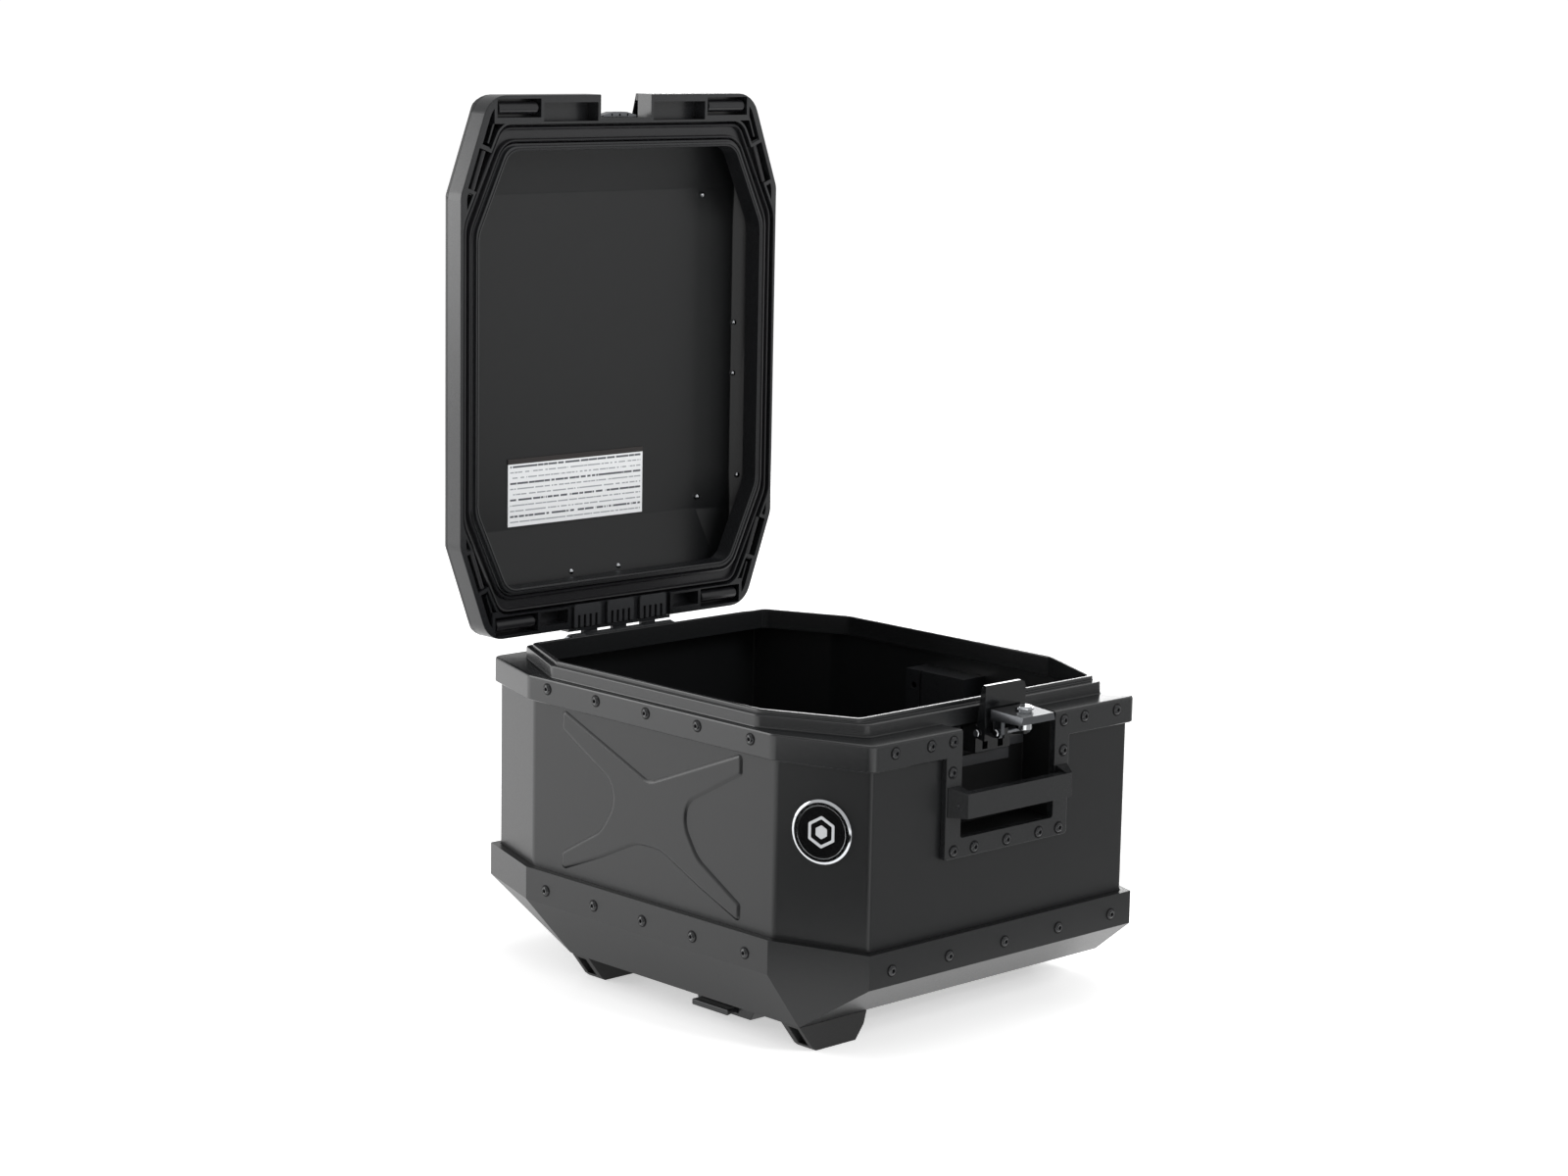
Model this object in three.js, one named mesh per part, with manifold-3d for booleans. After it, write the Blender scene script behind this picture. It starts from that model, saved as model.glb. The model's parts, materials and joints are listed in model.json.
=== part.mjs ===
// Rigid aluminium side case for a motorcycle: an eight-sided box with a hinged lid, shown open.
// Millimetres, +Z up. The latch and the handle face -Y, the hinge is at +Y.
// Heights in this file are above the ground; the finished group is lowered so that its origin
// lies in the middle of the flat seat under the floor.
import * as THREE from 'three';
import { ConvexGeometry } from 'three/addons/geometries/ConvexGeometry.js';
import { mergeVertices } from 'three/addons/utils/BufferGeometryUtils.js';
import Module from 'manifold-3d';

const wasm = await Module();
wasm.setup();

// ---- driving dimensions ----
const GAP = 0.3; // between pieces that touch
const WIDTH = 365; // across the collar, along X
const LENGTH = 464; // front to back over the collar, along Y
const HALF_X = WIDTH / 2;
const HALF_Y = LENGTH / 2;
const FRONT = -HALF_Y;
const CORNER_X = 29; // what a corner facet takes off the width
const CORNER_Y = 83; // and off the length
const FOOT_H = 22;
const SEAT_STEP = 1; // the seat stands this far below the floor's underside
const SLOPE_H = 39; // sloping lower part of the bottom tray
const TRAY_BAND_H = 28;
const SHELF_Z = 256; // level that the closed lid rests over
const BAND_H = 21.5;
const WALL = 2.5;
const WALL_INSET = 5.5; // wall face behind the collar face
const TRAY_WALL = 3;
const COLLAR_WALL = 4.5;
const SHELF_T = 3;
const LIP_H = 14;
const LIP_STEP_H = 10.5;
const HANDLE_Z = 197; // middle of the grip
const GRIP_H = 20;
const RECESS_HALF = 54.5;
const RECESS_FLOOR = 168;
const RECESS_BACK = -197;
const HINGE_BEHIND = 9.45; // hinge axis behind the collar
const LID_OVERHANG = 4; // lid beyond the collar at the front
const LID_FRAME_H = 17.5;
const LID_DEPTH = 44;
const NOTCH_HALF = 29;
const NOTCH_DEPTH = 20;

const TRAY_Z = FOOT_H + SEAT_STEP;
const TRAY_BAND_Z = TRAY_Z + SLOPE_H;
const TRAY_TOP = TRAY_BAND_Z + TRAY_BAND_H;
const HINGE_Y = HALF_Y + HINGE_BEHIND;
const HINGE_Z = SHELF_Z + 1.25;

// ---- finishes ----
const finish = (color, roughness, metalness) =>
  new THREE.MeshStandardMaterial({ color, roughness, metalness });
const PAINTED = () => finish(0x3a3c3d, 0.42, 0.3); // black powder-coated aluminium
const PLASTIC = () => finish(0x1d1e20, 0.55, 0); // moulded black plastic
const GLOSS = () => finish(0x141517, 0.22, 0); // smooth moulded black plastic
const RUBBER = () => finish(0x151515, 0.8, 0);
const STEEL = () => finish(0x9a9da0, 0.35, 0.9);
const CHROME = () => finish(0xc4c7ca, 0.15, 1);
const PAPER = () => finish(0xd8d9d8, 0.6, 0);

// ---- solids ----
const solidOf = (geometry) => {
  geometry.deleteAttribute('normal');
  geometry.deleteAttribute('uv');
  const merged = mergeVertices(geometry, 1e-4);
  return new wasm.Manifold(new wasm.Mesh({
    numProp: 3,
    vertProperties: new Float32Array(merged.attributes.position.array),
    triVerts: new Uint32Array(merged.index.array),
  }));
};

const box = ([x0, x1], [y0, y1], [z0, z1]) => {
  const geometry = new THREE.BoxGeometry(x1 - x0, y1 - y0, z1 - z0);
  return solidOf(geometry.translate((x0 + x1) / 2, (y0 + y1) / 2, (z0 + z1) / 2));
};

const prism = (outline, z0, z1) => {
  const shape = new THREE.Shape(outline.map(([x, y]) => new THREE.Vector2(x, y)));
  const geometry = new THREE.ExtrudeGeometry(shape, { depth: z1 - z0, bevelEnabled: false });
  return solidOf(geometry.translate(0, 0, z0));
};

const hull = (points) => solidOf(new ConvexGeometry(points.map((p) => new THREE.Vector3(...p))));

// A round bar along one axis; at holds the two other coordinates in X, Y, Z order.
const rod = (axis, radius, [from, to], at, sides = 24) => {
  const geometry = new THREE.CylinderGeometry(radius, radius, to - from, sides);
  const middle = (from + to) / 2;
  if (axis === 'x') geometry.rotateZ(Math.PI / 2).translate(middle, at[0], at[1]);
  if (axis === 'y') geometry.translate(at[0], middle, at[1]);
  if (axis === 'z') geometry.rotateX(Math.PI / 2).translate(at[0], at[1], middle);
  return solidOf(geometry);
};

const join = (...solids) => solids.reduce((a, b) => a.add(b));
const cut = (solid, ...tools) => tools.reduce((a, b) => a.subtract(b), solid);

const geometryOf = (solid) => {
  const { vertProperties, triVerts } = solid.getMesh();
  const geometry = new THREE.BufferGeometry();
  geometry.setAttribute('position', new THREE.BufferAttribute(vertProperties, 3));
  geometry.setIndex(new THREE.BufferAttribute(triVerts, 1));
  geometry.computeVertexNormals();
  return geometry;
};

const add = (group, name, solid, material) => {
  const mesh = new THREE.Mesh(geometryOf(solid), material);
  mesh.name = name;
  group.add(mesh);
};

// Eight-sided outline: half sizes, and what each corner facet takes off them.
const octagon = (halfX, halfY, cutX, cutY, midY = 0) => [
  [-halfX + cutX, -halfY], [halfX - cutX, -halfY], [halfX, -halfY + cutY], [halfX, halfY - cutY],
  [halfX - cutX, halfY], [-halfX + cutX, halfY], [-halfX, halfY - cutY], [-halfX, -halfY + cutY],
].map(([x, y]) => [x, y + midY]);

// The case outline moved inwards by the same distance on all eight sides.
const caseOutline = (inset) => {
  const slack = Math.hypot(CORNER_X, CORNER_Y) - CORNER_X - CORNER_Y;
  return octagon(HALF_X - inset, HALF_Y - inset,
    CORNER_X + (inset * slack) / CORNER_Y, CORNER_Y + (inset * slack) / CORNER_X);
};
const atHeight = (outline, z) => outline.map(([x, y]) => [x, y, z]);

const caseBody = new THREE.Group();
const wallOuter = caseOutline(WALL_INSET);
const wallInner = caseOutline(WALL_INSET + WALL);
const wallFront = FRONT + WALL_INSET;

// ---- bottom tray: flat rectangle at the bottom, eight-sided band at the top ----
const FLOOR = { x: [-173.5, 179], y: [-176, 102] };
const floorCorners = (inset, z) => [
  [FLOOR.x[0] + inset, FLOOR.y[0] + inset, z], [FLOOR.x[1] - inset, FLOOR.y[0] + inset, z],
  [FLOOR.x[1] - inset, FLOOR.y[1] - inset, z], [FLOOR.x[0] + inset, FLOOR.y[1] - inset, z],
];
const TRAY_PROUD = 1.2; // tray band face outside the collar face
const SEAT = { x: [-52, 52], y: [-70, 70] }; // flat pad that rests on the motorcycle's rack

function bottomTray() {
  const outside = hull([...floorCorners(0, TRAY_Z),
    ...atHeight(caseOutline(-TRAY_PROUD), TRAY_BAND_Z), ...atHeight(caseOutline(-TRAY_PROUD), TRAY_TOP)]);
  const lower = caseOutline(WALL_INSET + WALL);
  const inside = hull([...floorCorners(TRAY_WALL, TRAY_Z + TRAY_WALL), ...atHeight(lower, TRAY_BAND_Z)]);
  const socket = prism(caseOutline(WALL_INSET - GAP), TRAY_BAND_Z + TRAY_WALL, TRAY_TOP + 1);
  const throat = prism(lower, TRAY_BAND_Z - 0.1, TRAY_TOP + 1);
  const boltHoles = corners.map(([, , sx, sy]) =>
    rod('z', FOOT_BOLT_R + GAP, [TRAY_Z - 1, TRAY_Z + TRAY_WALL + 1], footBoltPlace(sx, sy)));
  const seat = box(SEAT.x, SEAT.y, [FOOT_H, TRAY_Z + 1]);
  return cut(join(outside, seat), inside, throat, socket, ...boltHoles);
}

// ---- wall wrap, with the stiffening cross pressed into both long sides ----
const CROSS_Z = 164;
const CROSS_PROUD = 1.5;
const crossOutline = [[-110, 69], [0, 26], [110, 69], [110, 51], [47, 17], [44, -2], [60, -26], [110, -54],
  [110, -70], [60, -50], [14, -29], [-14, -29], [-60, -50], [-110, -70], [-110, -54], [-60, -26],
  [-44, -2], [-47, 17], [-110, 51]];

function pressedCross(side) {
  const shape = new THREE.Shape(crossOutline.map(([y, z]) => new THREE.Vector2(y, z)));
  const depth = CROSS_PROUD + 1;
  const geometry = new THREE.ExtrudeGeometry(shape, { depth, bevelEnabled: false });
  geometry.rotateZ(Math.PI / 2).rotateY(Math.PI / 2);
  const inner = HALF_X - WALL_INSET - 1;
  return solidOf(geometry.translate(side > 0 ? inner : -inner - depth, 0, CROSS_Z));
}

function wallShell() {
  const ring = cut(prism(wallOuter, TRAY_BAND_Z + TRAY_WALL + GAP, SHELF_Z - SHELF_T - GAP),
    prism(wallInner, TRAY_BAND_Z, SHELF_Z));
  const recess = box([-RECESS_HALF - 3, RECESS_HALF + 3], [wallFront - 5, wallFront + 5],
    [RECESS_FLOOR - 3, SHELF_Z]);
  const bolts = [-1, 1].map((s) => rod('y', 3, [wallFront - 5, wallFront + 5], [s * HANDLE_BOLT_X, HANDLE_Z]));
  return cut(join(ring, pressedCross(-1), pressedCross(1)), recess, ...bolts);
}

// ---- collar: band, shelf, stepped sealing lip and the handle frame in one casting ----
const HANDLE_FRAME_HALF = 72;
const HANDLE_FRAME_Z = 152;
const HANDLE_BOLT_X = 63;
const lipLower = octagon(177.3, 208.7, 40.5, 83);
const lipUpper = octagon(173.5, 200, 36.5, 76);
const mouth = octagon(169.5, 196, 35.5, 74);

function rimCollar() {
  const band = cut(prism(caseOutline(0), SHELF_Z - BAND_H, SHELF_Z),
    prism(caseOutline(COLLAR_WALL), SHELF_Z - BAND_H - 1, SHELF_Z - SHELF_T));
  const lip = join(prism(lipLower, SHELF_Z - SHELF_T, SHELF_Z + LIP_STEP_H),
    prism(lipUpper, SHELF_Z, SHELF_Z + LIP_H));
  const handleFrame = box([-HANDLE_FRAME_HALF, HANDLE_FRAME_HALF], [FRONT, wallFront - GAP],
    [HANDLE_FRAME_Z, SHELF_Z - 1]);
  const recess = box([-RECESS_HALF, RECESS_HALF], [FRONT - 1, -209], [RECESS_FLOOR, SHELF_Z + 1]);
  const pocketRoom = box([-RECESS_HALF - 3, RECESS_HALF + 3], [wallFront - GAP, -209],
    [RECESS_FLOOR, SHELF_Z - SHELF_T - 0.1]);
  const bolts = [-1, 1].map((s) => rod('y', 3, [FRONT - 1, wallFront + 5], [s * HANDLE_BOLT_X, HANDLE_Z]));
  return cut(join(band, lip, handleFrame), prism(mouth, SHELF_Z - BAND_H, SHELF_Z + LIP_H + 1), recess,
    pocketRoom, ...bolts);
}

function recessPocket() {
  const outside = box([-RECESS_HALF - 2.5, RECESS_HALF + 2.5], [wallFront, RECESS_BACK + 2.5],
    [RECESS_FLOOR - 2.5, SHELF_Z - SHELF_T - GAP]);
  return cut(outside, box([-RECESS_HALF, RECESS_HALF], [wallFront - 1, RECESS_BACK],
    [RECESS_FLOOR, SHELF_Z]));
}

// ---- carrying handle: a bar on two bevelled end blocks ----
const GRIP_FRONT = FRONT - 14;
const GRIP_END = 70;
const GRIP_FACE_END = 61;

function handleBar() {
  const [low, high] = [HANDLE_Z - GRIP_H / 2, HANDLE_Z + GRIP_H / 2];
  const block = (s) => hull([
    [s * GRIP_END, FRONT - GAP, low], [s * GRIP_END, FRONT - GAP, high + 4],
    [s * (GRIP_FACE_END - 4), FRONT - GAP, low], [s * (GRIP_FACE_END - 4), FRONT - GAP, high + 4],
    [s * GRIP_FACE_END, GRIP_FRONT, low], [s * GRIP_FACE_END, GRIP_FRONT, high],
    [s * (GRIP_FACE_END - 6), GRIP_FRONT, low], [s * (GRIP_FACE_END - 6), GRIP_FRONT, high],
  ]);
  const grip = box([-GRIP_FACE_END, GRIP_FACE_END], [GRIP_FRONT, GRIP_FRONT + 8.5], [low, high]);
  const bolts = [-1, 1].map((s) => rod('y', 2.5 + GAP, [FRONT - 8, FRONT], [s * HANDLE_BOLT_X, HANDLE_Z]));
  return cut(join(block(-1), block(1), grip), ...bolts);
}

const handleBolt = (s) => join(
  rod('y', 2.5, [FRONT - 7.5, wallFront + WALL + GAP], [s * HANDLE_BOLT_X, HANDLE_Z]),
  rod('y', 4.5, [wallFront + WALL + GAP, wallFront + WALL + 3.5], [s * HANDLE_BOLT_X, HANDLE_Z]));

// ---- feet: tapered blocks near the four corners of the floor ----
const FOOT = { top: 76, bottom: 50, outerSlope: 20, depth: 22 };
const FOOT_BOLT_R = 2.5;
const FOOT_BOLT_SEAT = 10;
const corners = [['front', 'left', -1, -1], ['front', 'right', 1, -1], ['rear', 'left', -1, 1],
  ['rear', 'right', 1, 1]];
const FRONT_RIGHT_SETBACK = 60; // this foot stands further in than the others
const footFace = (sideX, sideY) => {
  if (sideY > 0) return FLOOR.y[1];
  return sideX < 0 ? FLOOR.y[0] : FLOOR.y[0] + FRONT_RIGHT_SETBACK;
};
const footBoltPlace = (sideX, sideY) => [
  (sideX < 0 ? FLOOR.x[0] : FLOOR.x[1]) - sideX * 45, footFace(sideX, sideY) - sideY * 11];

function foot(sideX, sideY) {
  const edge = sideX < 0 ? FLOOR.x[0] : FLOOR.x[1];
  const face = footFace(sideX, sideY);
  const along = (d) => edge - sideX * d;
  const into = (d) => face - sideY * d;
  const points = [];
  for (const [d, z] of [[1, TRAY_Z - GAP], [FOOT.top, TRAY_Z - GAP], [FOOT.top - 3, 12],
    [FOOT.outerSlope + FOOT.bottom - 6, 0], [FOOT.outerSlope, 0], [FOOT.outerSlope - 4, 3]]) {
    points.push([along(d), into(0.5), z], [along(d), into(FOOT.depth), z]);
  }
  const relief = hull([[8, 20], [15, 20], [21, 4], [14, 4]].flatMap(([d, z]) => [
    [along(d - 8), into(5), z], [along(d - 8), into(16), z],
    [along(d), into(5), z], [along(d), into(16), z]]));
  const [x, y] = footBoltPlace(sideX, sideY);
  return cut(hull(points), relief, rod('z', FOOT_BOLT_R + GAP, [-1, TRAY_Z + 1], [x, y]),
    rod('z', 5.5, [-1, FOOT_BOLT_SEAT], [x, y]));
}

function footBolt(sideX, sideY) {
  const at = footBoltPlace(sideX, sideY);
  const top = TRAY_Z + TRAY_WALL + GAP;
  const head = rod('z', 4.6, [FOOT_BOLT_SEAT - 3.5, FOOT_BOLT_SEAT - GAP], at);
  const socket = rod('z', 2, [FOOT_BOLT_SEAT - 5, FOOT_BOLT_SEAT - 2], at, 6);
  const nut = rod('z', 4.8, [top, top + 4], at, 6);
  return cut(join(head, rod('z', FOOT_BOLT_R, [FOOT_BOLT_SEAT - 1, top + 5], at), nut), socket);
}

// ---- rack fixing under the floor: a guide block and its release slide ----
const SLIDE = { x: [-158, -120], y: [-81, -38], z: [9, 13] };

function rackGuide() {
  const block = hull([[-152, -107, TRAY_Z - GAP], [-152, -30, TRAY_Z - GAP], [-60, -107, TRAY_Z - GAP],
    [-60, -30, TRAY_Z - GAP], [-150, -95, 5], [-150, -34, 5], [-66, -95, 5], [-66, -34, 5]]);
  return cut(block, box([-200, SLIDE.x[1] + 14], [SLIDE.y[0] - GAP, SLIDE.y[1] + GAP],
    [SLIDE.z[0] - GAP, SLIDE.z[1] + GAP]));
}

function releaseSlide() {
  const plate = box(SLIDE.x, SLIDE.y, SLIDE.z);
  const grip = hull([[-162, SLIDE.y[0], 8], [-162, SLIDE.y[1], 8], [-162, SLIDE.y[0], 13],
    [-162, SLIDE.y[1], 13], [-157, SLIDE.y[0], 9], [-157, SLIDE.y[1], 9], [-157, SLIDE.y[0], 13],
    [-157, SLIDE.y[1], 13]]);
  return join(plate, grip);
}

// ---- hinge: knuckles in turn on the case and on the lid, over one pin ----
const HINGE_HALF = 60;
const KNUCKLES = 7;
const KNUCKLE_R = 5;
const PIN_R = 2.2;
const KNUCKLE_W = (2 * HINGE_HALF) / KNUCKLES;

function knuckles(first, y, z, arm) {
  const parts = [];
  for (let i = first; i < KNUCKLES; i += 2) {
    const x = [-HINGE_HALF + i * KNUCKLE_W + GAP, -HINGE_HALF + (i + 1) * KNUCKLE_W - GAP];
    parts.push(rod('x', KNUCKLE_R, x, [y, z]), arm(x));
  }
  return join(...parts);
}
const pinBore = (y, z) => rod('x', PIN_R + 0.1, [-HINGE_HALF - 5, HINGE_HALF + 5], [y, z]);

function hingeBase() {
  const leaf = box([-HINGE_HALF, HINGE_HALF], [HALF_Y + GAP, HALF_Y + 3], [SHELF_Z - 19, SHELF_Z - 5]);
  const arm = (x) => box(x, [HALF_Y + GAP, HINGE_Y], [HINGE_Z - 12, HINGE_Z - 2]);
  return cut(join(leaf, knuckles(0, HINGE_Y, HINGE_Z, arm)), pinBore(HINGE_Y, HINGE_Z));
}

const hingePin = () => join(
  rod('x', PIN_R, [-HINGE_HALF - 1, HINGE_HALF + 1], [HINGE_Y, HINGE_Z]),
  rod('x', 3.6, [-HINGE_HALF - 3, -HINGE_HALF - 0.4], [HINGE_Y, HINGE_Z]),
  rod('x', 3.6, [HINGE_HALF + 0.4, HINGE_HALF + 3], [HINGE_Y, HINGE_Z]));

// ---- badge on the front left corner facet ----
const BADGE_Z = 182;
const facetAngle = Math.atan2(CORNER_Y, CORNER_X); // direction of the facet's outward normal from -X

function onFacet(geometry) {
  const mid = [(wallOuter[7][0] + wallOuter[0][0]) / 2, (wallOuter[7][1] + wallOuter[0][1]) / 2];
  const outward = Math.atan2(-Math.cos(facetAngle), -Math.sin(facetAngle));
  geometry.rotateZ(-Math.PI / 2).rotateZ(outward);
  return solidOf(geometry.translate(mid[0], mid[1], BADGE_Z));
}

function badgeRing() {
  const profile = [[21, 0.3], [26, 0.3], [26, 1.6], [24, 2.6], [21, 2.6], [21, 0.3]];
  const points = profile.map(([r, h]) => new THREE.Vector2(r, h));
  return onFacet(new THREE.LatheGeometry(points, 40));
}
const badgeDisc = () => onFacet(new THREE.CylinderGeometry(20.6, 20.6, 1.5, 40).translate(0, 1.1, 0));

// ---- cover of the side fixing, inside the wall that faces the motorcycle ----
const SIDE_COVER = { y: [-42, 28], z: [150, 240], depth: 26 };

function sideCover() {
  const face = HALF_X - WALL_INSET - WALL - GAP;
  const shell = box([face - SIDE_COVER.depth, face], SIDE_COVER.y, SIDE_COVER.z);
  const hollow = box([face - SIDE_COVER.depth + 2.5, face + 1], [SIDE_COVER.y[0] + 2.5, SIDE_COVER.y[1] - 2.5],
    [SIDE_COVER.z[0] + 2.5, SIDE_COVER.z[1] - 2.5]);
  const groove = box([face - SIDE_COVER.depth - 1, face - SIDE_COVER.depth + 1.5], [8, 11],
    [SIDE_COVER.z[0] - 1, SIDE_COVER.z[1] + 1]);
  const hole = rod('x', 3, [face - SIDE_COVER.depth - 1, face - 10], [18, 226]);
  return cut(shell, hollow, groove, hole);
}

// ---- latch: base block in the recess, hook lever, lock flap and key cylinder ----
const HOOK_PIVOT = { y: -218.5, z: 246.5 };
const FLAP_PIVOT = { y: -234.5, z: 248.5 };
const LATCH_PIN_R = 2;
const HOOK_HALF = 23.5;
const FLAP_HALF = 20;
const CYLINDER = { x: 2, y: -245, r: 6 };

function latchBase() {
  const block = box([-20.2, 20.2], [-214, RECESS_BACK - GAP], [229, SHELF_Z - SHELF_T - 2 * GAP]);
  const lug = hull([[-20.2, -213, 240.5], [20.2, -213, 240.5], [-20.2, -213, 252], [20.2, -213, 252],
    [-20.2, -222, 244], [20.2, -222, 244], [-20.2, -222, 249.5], [20.2, -222, 249.5]]);
  const slots = [-9, 9].map((x) => box([x - 3, x + 3], [-215, -206], [231, 239]));
  return cut(join(block, lug), rod('x', LATCH_PIN_R + 0.1, [-25, 25], [HOOK_PIVOT.y, HOOK_PIVOT.z]), ...slots);
}

const hookPin = () => rod('x', LATCH_PIN_R, [-HOOK_HALF - 1, HOOK_HALF + 1], [HOOK_PIVOT.y, HOOK_PIVOT.z]);

function hookLever() {
  const top = 286;
  const corner = 6;
  const outline = [[-HOOK_HALF, 241], [HOOK_HALF, 241], [HOOK_HALF, top - corner],
    [HOOK_HALF - corner * 0.3, top - corner * 0.3], [HOOK_HALF - corner, top], [-HOOK_HALF, top]];
  const plate = hull(outline.flatMap(([x, z]) => [[x, -226.5, z], [x, -223.5, z]]));
  const flanges = [-1, 1].map((s) => hull([[241, 0], [252, 0], [243, 1], [250, 1]].flatMap(([z, near]) =>
    [20.6, HOOK_HALF].map((x) => [s * x, near ? -213.5 : -224.5, z]))));
  const hook = box([-19, 19], [-224, -221.5], [276.5, 280]);
  const ears = [-1, 1].map((s) => hull([[242.5, -226], [255, -226], [244.5, -238.5], [252.5, -238.5]].flatMap(
    ([z, y]) => [9.5, 13.5].map((x) => [s * x, y, z]))));
  return cut(join(plate, hook, ...flanges, ...ears),
    rod('x', LATCH_PIN_R + 0.1, [-25, 25], [HOOK_PIVOT.y, HOOK_PIVOT.z]),
    rod('x', LATCH_PIN_R + 0.1, [-25, 25], [FLAP_PIVOT.y, FLAP_PIVOT.z]));
}

const flapPin = () => rod('x', LATCH_PIN_R, [-19.5, 19.5], [FLAP_PIVOT.y, FLAP_PIVOT.z]);

function lockFlap() {
  const slab = hull([[-FLAP_HALF, -229, 258], [FLAP_HALF, -229, 258], [-FLAP_HALF, -229, 267],
    [FLAP_HALF, -229, 267], [-FLAP_HALF, -262, 259], [FLAP_HALF, -262, 259],
    [-FLAP_HALF + 2, -262, 265], [FLAP_HALF - 2, -262, 265]]);
  const arms = [-1, 1].map((s) => hull([[-230, 259], [-239, 259], [-230, 248], [-239, 248], [-232.5, 244.3],
    [-236.5, 244.3]].flatMap(([y, z]) => [14, 18].map((x) => [s * x, y, z]))));
  return cut(join(slab, ...arms),
    rod('x', LATCH_PIN_R + 0.1, [-25, 25], [FLAP_PIVOT.y, FLAP_PIVOT.z]),
    rod('z', CYLINDER.r + 0.1, [250, 280], [CYLINDER.x, CYLINDER.y]));
}

function keyCylinder() {
  const barrel = rod('z', CYLINDER.r, [251, 270], [CYLINDER.x, CYLINDER.y]);
  const collar = rod('z', CYLINDER.r + 1.6, [267.3, 269], [CYLINDER.x, CYLINDER.y]);
  const keyway = box([CYLINDER.x - 0.9, CYLINDER.x + 0.9], [CYLINDER.y - 4, CYLINDER.y + 4], [265, 271]);
  return cut(join(barrel, collar), keyway);
}

// ---- lid, drawn closed about the hinge axis and turned open as a group ----
const lid = new THREE.Group();
const LID_HALF_Y = (LENGTH + LID_OVERHANG) / 2;
const LID_MID = -HINGE_BEHIND - LID_HALF_Y;
const CASE_MID = -HINGE_Y; // middle of the case in lid coordinates
const LID_FACE = -0.45;
const LID_FRONT = LID_MID - LID_HALF_Y;
const lidOutline = (inset) => {
  const slack = Math.hypot(31, 84) - 31 - 84;
  return octagon(182.8 - inset, LID_HALF_Y - inset, 31 + (inset * slack) / 84, 84 + (inset * slack) / 31,
    LID_MID);
};
const notch = box([-NOTCH_HALF, NOTCH_HALF], [LID_FRONT - 5, LID_FRONT + NOTCH_DEPTH], [-10, LID_DEPTH + 5]);

// Strap bars sit in pockets round the border; each pocket is open on the face.
const BAR_R = 3;
const pockets = [
  { x: [-144, -96], y: [LID_FRONT + 3, LID_FRONT + 19] }, { x: [96, 144], y: [LID_FRONT + 3, LID_FRONT + 19] },
  { x: [-144, -96], y: [-29, -12.5] }, { x: [96, 144], y: [-29, -12.5] },
];
const POCKET_DEPTH = 13;

const barSolid = ({ x, y }) => rod('x', BAR_R, [x[0] + GAP, x[1] - GAP], [(y[0] + y[1]) / 2, 3.5], 16);

// Shorter bars in pockets along the four corner facets.
const CORNER_POCKET = { length: 36, width: 14, x: 162.5, y: 171 };
const CORNER_BAR_R = 2.5;
const facetTurn = (Math.atan2(31, 84) * 180) / Math.PI;
const lidCorners = [[1, 1], [-1, 1], [1, -1], [-1, -1]];

function onLidCorner([sx, sy], solid) {
  return solid.rotate([0, 0, sx * sy * facetTurn])
    .translate([sx * CORNER_POCKET.x, LID_MID + sy * CORNER_POCKET.y, 0]);
}

function cornerPocket(corner) {
  const { length, width } = CORNER_POCKET;
  return onLidCorner(corner, box([-width / 2, width / 2], [-length / 2, length / 2],
    [LID_FACE - 1, POCKET_DEPTH]));
}

function cornerBar(corner) {
  const half = CORNER_POCKET.length / 2 - GAP;
  return onLidCorner(corner, rod('y', CORNER_BAR_R, [-half, half], [0, 3.5], 16));
}

const GROOVE = { outer: octagon(179.3, 211, 41, 83, CASE_MID), inner: octagon(166.5, 193, 34, 72, CASE_MID) };
const GROOVE_ROOF = 14.6;
const opening = octagon(162.5, 189, 33, 71, CASE_MID);

function lidFrame() {
  const frame = cut(prism(lidOutline(0), LID_FACE, LID_FRAME_H), prism(opening, -5, LID_FRAME_H + 1));
  const groove = cut(prism(GROOVE.outer, LID_FACE - 1, GROOVE_ROOF), prism(GROOVE.inner, -5, 30));
  const strapPockets = pockets.map(({ x, y }) => box(x, y, [LID_FACE - 1, POCKET_DEPTH]));
  const coverSeat = box([-59, 59], [-31, -5], [LID_FACE - 1, 3]);
  return cut(frame, groove, notch, ...strapPockets, ...lidCorners.map(cornerPocket), coverSeat);
}

function lidShell() {
  const base = lidOutline(0);
  const bottom = LID_FRAME_H + GAP;
  const ridge = (x, y, z, inset) => [-1, 1].flatMap((sx) => [-1, 1].map((sy) =>
    [sx * (x - inset), LID_MID + sy * (y - inset), z]));
  const outside = hull([...atHeight(base, bottom), ...atHeight(base, bottom + 3),
    ...ridge(165, 150, 38, 0), ...ridge(127, 148, LID_DEPTH, 0)]);
  const inside = hull([...atHeight(lidOutline(2.4), bottom - 1), ...atHeight(lidOutline(2.4), bottom + 2),
    ...ridge(165, 150, 36, 2), ...ridge(127, 148, LID_DEPTH - 2, 0.5)]);
  return cut(outside, inside, notch);
}

function lidGasket() {
  return cut(prism(octagon(178.6, 210.2, 41, 83, CASE_MID), GROOVE_ROOF - 1.4, GROOVE_ROOF - GAP),
    prism(octagon(167.2, 193.7, 34, 72, CASE_MID), 0, 20));
}

function hingeLeaf() {
  const leaf = box([-HINGE_HALF, HINGE_HALF], [-HINGE_BEHIND + GAP, -HINGE_BEHIND + 2.7], [1, 14]);
  const arm = (x) => box(x, [-HINGE_BEHIND + GAP, 0], [1.5, 4.8]);
  return cut(join(leaf, knuckles(1, 0, 0, arm)), pinBore(0, 0));
}

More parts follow.
